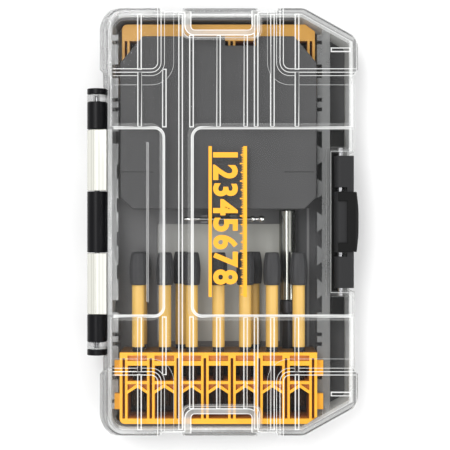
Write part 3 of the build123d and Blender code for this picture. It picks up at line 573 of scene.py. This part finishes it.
# %% Slim rod
low, high = (np.array(corner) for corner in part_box("slim_rod"))
ball = (high[2] - low[2]) / 2
rod_end = high[0] - low[0] - ball
profile = [(0.0, 0.2 * MM), (0.0, 0.9 * MM), (0.3 * MM, 1.2 * MM), (4.0 * MM, 1.2 * MM)]
for ring in range(6):
    at = (4.2 + ring * 0.9) * MM
    profile += [(at, 1.18 * MM), (at + 0.15 * MM, 0.85 * MM), (at + 0.5 * MM, 0.85 * MM),
                (at + 0.65 * MM, 1.18 * MM)]
profile += [(39.5 * MM, 1.2 * MM), (39.7 * MM, 1.9 * MM), (41.6 * MM, 1.9 * MM), (41.8 * MM, 1.0 * MM)]
for step in range(13):
    turn = math.pi * (0.16 + 0.84 * step / 12)
    profile.append((rod_end - ball * math.cos(turn), max(0.0001, ball * math.sin(turn))))
start = (low[0], (low[1] + high[1]) / 2, (low[2] + high[2]) / 2)
rod = turned("slim_rod_rings", profile, start, 0, 32)
placed(rod, cross_steel, "base", "bright_steel", "slim_rod")

# %% [markdown]
# ## The print on the lid
#
# A plain yellow centimetre scale lies on the lid's larger panel: two border lines, a tick for each
# millimetre and the numbers 1 to 8, whose tops point to the latch.

# %% Printed scale
PRINT_Z = 42.28 * MM
PRINT_LEFT = -8.1 * MM
PRINT_RIGHT = 13.95 * MM
PRINT_START = 43.4 * MM
PRINT_END = -43.0 * MM
RULE_WIDTH = 2.1 * MM
NUMBER_MIDDLE = 1.6 * MM
NUMBER_HEIGHT = 14.2 * MM
NUMBER_WIDTH = 13.4 * MM


def glyph(text):
    """Corners and faces of a bold numeral, one unit high and centred on the origin."""
    curve = bpy.data.curves.new("glyph", "FONT")
    curve.body = text
    curve.offset = 0.035
    curve.resolution_u = 4
    obj = bpy.data.objects.new("glyph", curve)
    bpy.context.scene.collection.objects.link(obj)
    shape = obj.evaluated_get(bpy.context.evaluated_depsgraph_get())
    mesh = bpy.data.meshes.new_from_object(shape)
    points = np.array([vertex.co[:2] for vertex in mesh.vertices])
    faces = [tuple(face.vertices) for face in mesh.polygons]
    bpy.data.objects.remove(obj)
    bpy.data.meshes.remove(mesh)
    bpy.data.curves.remove(curve)
    low, high = points.min(0), points.max(0)
    return (points - (low + high) / 2) / (high[1] - low[1]), faces


points, faces = [], []


def stamp(corners, shape):
    """Adds flat faces to the print."""
    first = len(points)
    points.extend((x, y, PRINT_Z) for x, y in corners)
    faces.extend(tuple(first + k for k in face) for face in shape)


def stripe(x0, x1, y0, y1):
    """Adds one flat rectangle to the print."""
    stamp(((x0, y0), (x1, y0), (x1, y1), (x0, y1)), ((0, 1, 2, 3),))


stripe(PRINT_LEFT, PRINT_LEFT + 1.9 * MM, PRINT_END, PRINT_START)
stripe(PRINT_RIGHT - RULE_WIDTH, PRINT_RIGHT, PRINT_END, PRINT_START)
for tick in range(1, 86):
    reach = (2.0 if tick % 10 == 0 else 1.5 if tick % 5 == 0 else 0.9) * MM
    half = (0.4 if tick % 5 == 0 else 0.22) * MM
    y = PRINT_START - tick * MM
    rule = PRINT_RIGHT - RULE_WIDTH
    stripe(rule - reach, rule + 0.05 * MM, y - half, y + half)
for number in range(1, 9):
    corners, shape = glyph(str(number))
    y = PRINT_START - (number * 10 - 5) * MM
    stamp([(NUMBER_MIDDLE + v * NUMBER_HEIGHT, y - u * NUMBER_WIDTH) for u, v in corners], shape)
scale = grid_mesh("lid_scale_print", points, faces, False)
placed(scale, print_yellow, "lid", "rack_yellow")

# %% [markdown]
# ## Stage, light and camera
#
# The photograph looks straight down from about 0.75 m. The floor and the sky are pale. Two broad soft
# lamps hang above the case, and two narrow strips light the hinge and the latch side.

# %% Floor
FLOOR_Z = -0.3 * MM
floor = grid_mesh("floor", [(x, y, FLOOR_Z) for x, y in ((-3, -3), (3, -3), (3, 3), (-3, 3))],
                  [(0, 1, 2, 3)], False)
ground = Looks("floor", (0.86, 0.86, 0.86), 0.9)
ground.put("Base Color", ground.blend(ground.noise(4.0), (0.86, 0.86, 0.86), (0.88, 0.88, 0.88)))
floor.data.materials.append(ground.material)

# %% Sky and lamps
world = bpy.data.worlds.new("studio")
world.use_nodes = True
sky = world.node_tree.nodes["Background"]
sky.inputs["Color"].default_value = (1.0, 1.0, 1.0, 1.0)
sky.inputs["Strength"].default_value = 0.68
bpy.context.scene.world = world
bpy.context.scene.view_settings.view_transform = "Standard"


def lamp(name, place, aim, size, power):
    """Square soft light that shines from a place to a point."""
    data = bpy.data.lights.new(name, "AREA")
    data.shape = "RECTANGLE"
    data.size, data.size_y = size
    data.energy = power
    obj = bpy.data.objects.new(name, data)
    obj.location = place
    way = np.array(aim) - np.array(place)
    yaw = math.atan2(way[1], way[0])
    tilt = math.atan2(math.hypot(way[0], way[1]), -way[2])
    obj.rotation_euler = (0.0, -tilt, yaw)
    bpy.context.scene.collection.objects.link(obj)


lamp("key", (-0.5, 0.5, 1.3), (0.0, 0.0, 0.0), (0.9, 0.9), 9.0)
lamp("fill", (0.7, -0.4, 1.1), (0.0, 0.0, 0.0), (0.8, 0.8), 3.0)
lamp("hinge strip", (-0.2, 0.0, 1.0), (-0.2, 0.0, 0.0), (0.22, 1.2), 3.4)
lamp("side strip", (1.05, 0.0, 0.8), (0.0, 0.0, 0.0), (0.12, 1.2), 4.5)

# %% Camera
CAMERA_HEIGHT = 0.747
SENSOR = 36.0
PHOTO_PIXELS = 450
PIXEL = 0.585 * MM
SHIFT_PIXELS = (2.35, -3.1)
camera_data = bpy.data.cameras.new("camera")
camera_data.sensor_width = SENSOR
camera_data.lens = SENSOR * (CAMERA_HEIGHT - PARTING) / (PHOTO_PIXELS * PIXEL)
camera_data.shift_x = SHIFT_PIXELS[0] / PHOTO_PIXELS
camera_data.shift_y = SHIFT_PIXELS[1] / PHOTO_PIXELS
camera = bpy.data.objects.new("camera", camera_data)
camera.location = (0.0, 0.0, CAMERA_HEIGHT)
bpy.context.scene.collection.objects.link(camera)
bpy.context.scene.camera = camera
